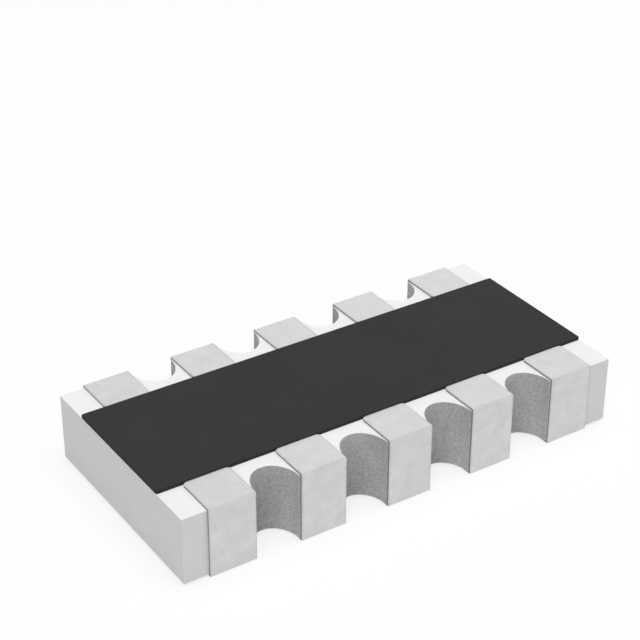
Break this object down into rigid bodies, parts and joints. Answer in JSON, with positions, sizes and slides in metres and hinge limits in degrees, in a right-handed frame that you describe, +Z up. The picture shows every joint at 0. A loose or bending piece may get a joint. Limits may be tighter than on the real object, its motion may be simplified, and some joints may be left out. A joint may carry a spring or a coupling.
{
  "type": "resistor network",
  "caption": "Chip resistor network: notched ceramic tile with wrap-round terminals along both long sides and a dark protective coat, for surface mounting.",
  "frame": {"origin": "centre of the part in plan, on the seating plane of the terminals' undersides", "axes": "+X along the tile's long side, +Y across it, +Z up through the dark coated face; terminals count anticlockwise from the -X end of the -Y side"},
  "size_m": [0.0032, 0.0016, 0.0005],
  "materials": {
    "alumina": "matte",
    "tin": "satin",
    "nickel": "satin",
    "silver": "satin",
    "resistor_film": "satin",
    "fired_glass": "gloss",
    "dark_resin": "satin"
  },
  "bodies": {
    "root": {"substrate": "alumina", "overcoat": "dark_resin", "glass_coat": "fired_glass", "common_conductor": "silver", "tin_plating_1": "tin", "nickel_barrier_1": "nickel", "side_electrode_1": "silver", "bottom_electrode_1": "silver", "top_electrode_1": "silver", "resistor_element_1": "resistor_film", "tin_plating_2": "tin", "nickel_barrier_2": "nickel", "side_electrode_2": "silver", "bottom_electrode_2": "silver", "top_electrode_2": "silver", "resistor_element_2": "resistor_film", "tin_plating_3": "tin", "nickel_barrier_3": "nickel", "side_electrode_3": "silver", "bottom_electrode_3": "silver", "top_electrode_3": "silver", "resistor_element_3": "resistor_film", "tin_plating_4": "tin", "nickel_barrier_4": "nickel", "side_electrode_4": "silver", "bottom_electrode_4": "silver", "top_electrode_4": "silver", "resistor_element_4": "resistor_film", "tin_plating_5": "tin", "nickel_barrier_5": "nickel", "side_electrode_5": "silver", "bottom_electrode_5": "silver", "tin_plating_6": "tin", "nickel_barrier_6": "nickel", "side_electrode_6": "silver", "bottom_electrode_6": "silver", "top_electrode_6": "silver", "resistor_element_6": "resistor_film", "tin_plating_7": "tin", "nickel_barrier_7": "nickel", "side_electrode_7": "silver", "bottom_electrode_7": "silver", "top_electrode_7": "silver", "resistor_element_7": "resistor_film", "tin_plating_8": "tin", "nickel_barrier_8": "nickel", "side_electrode_8": "silver", "bottom_electrode_8": "silver", "top_electrode_8": "silver", "resistor_element_8": "resistor_film", "tin_plating_9": "tin", "nickel_barrier_9": "nickel", "side_electrode_9": "silver", "bottom_electrode_9": "silver", "top_electrode_9": "silver", "resistor_element_9": "resistor_film", "tin_plating_10": "tin", "nickel_barrier_10": "nickel", "side_electrode_10": "silver", "bottom_electrode_10": "silver"}
  },
  "joints": []
}
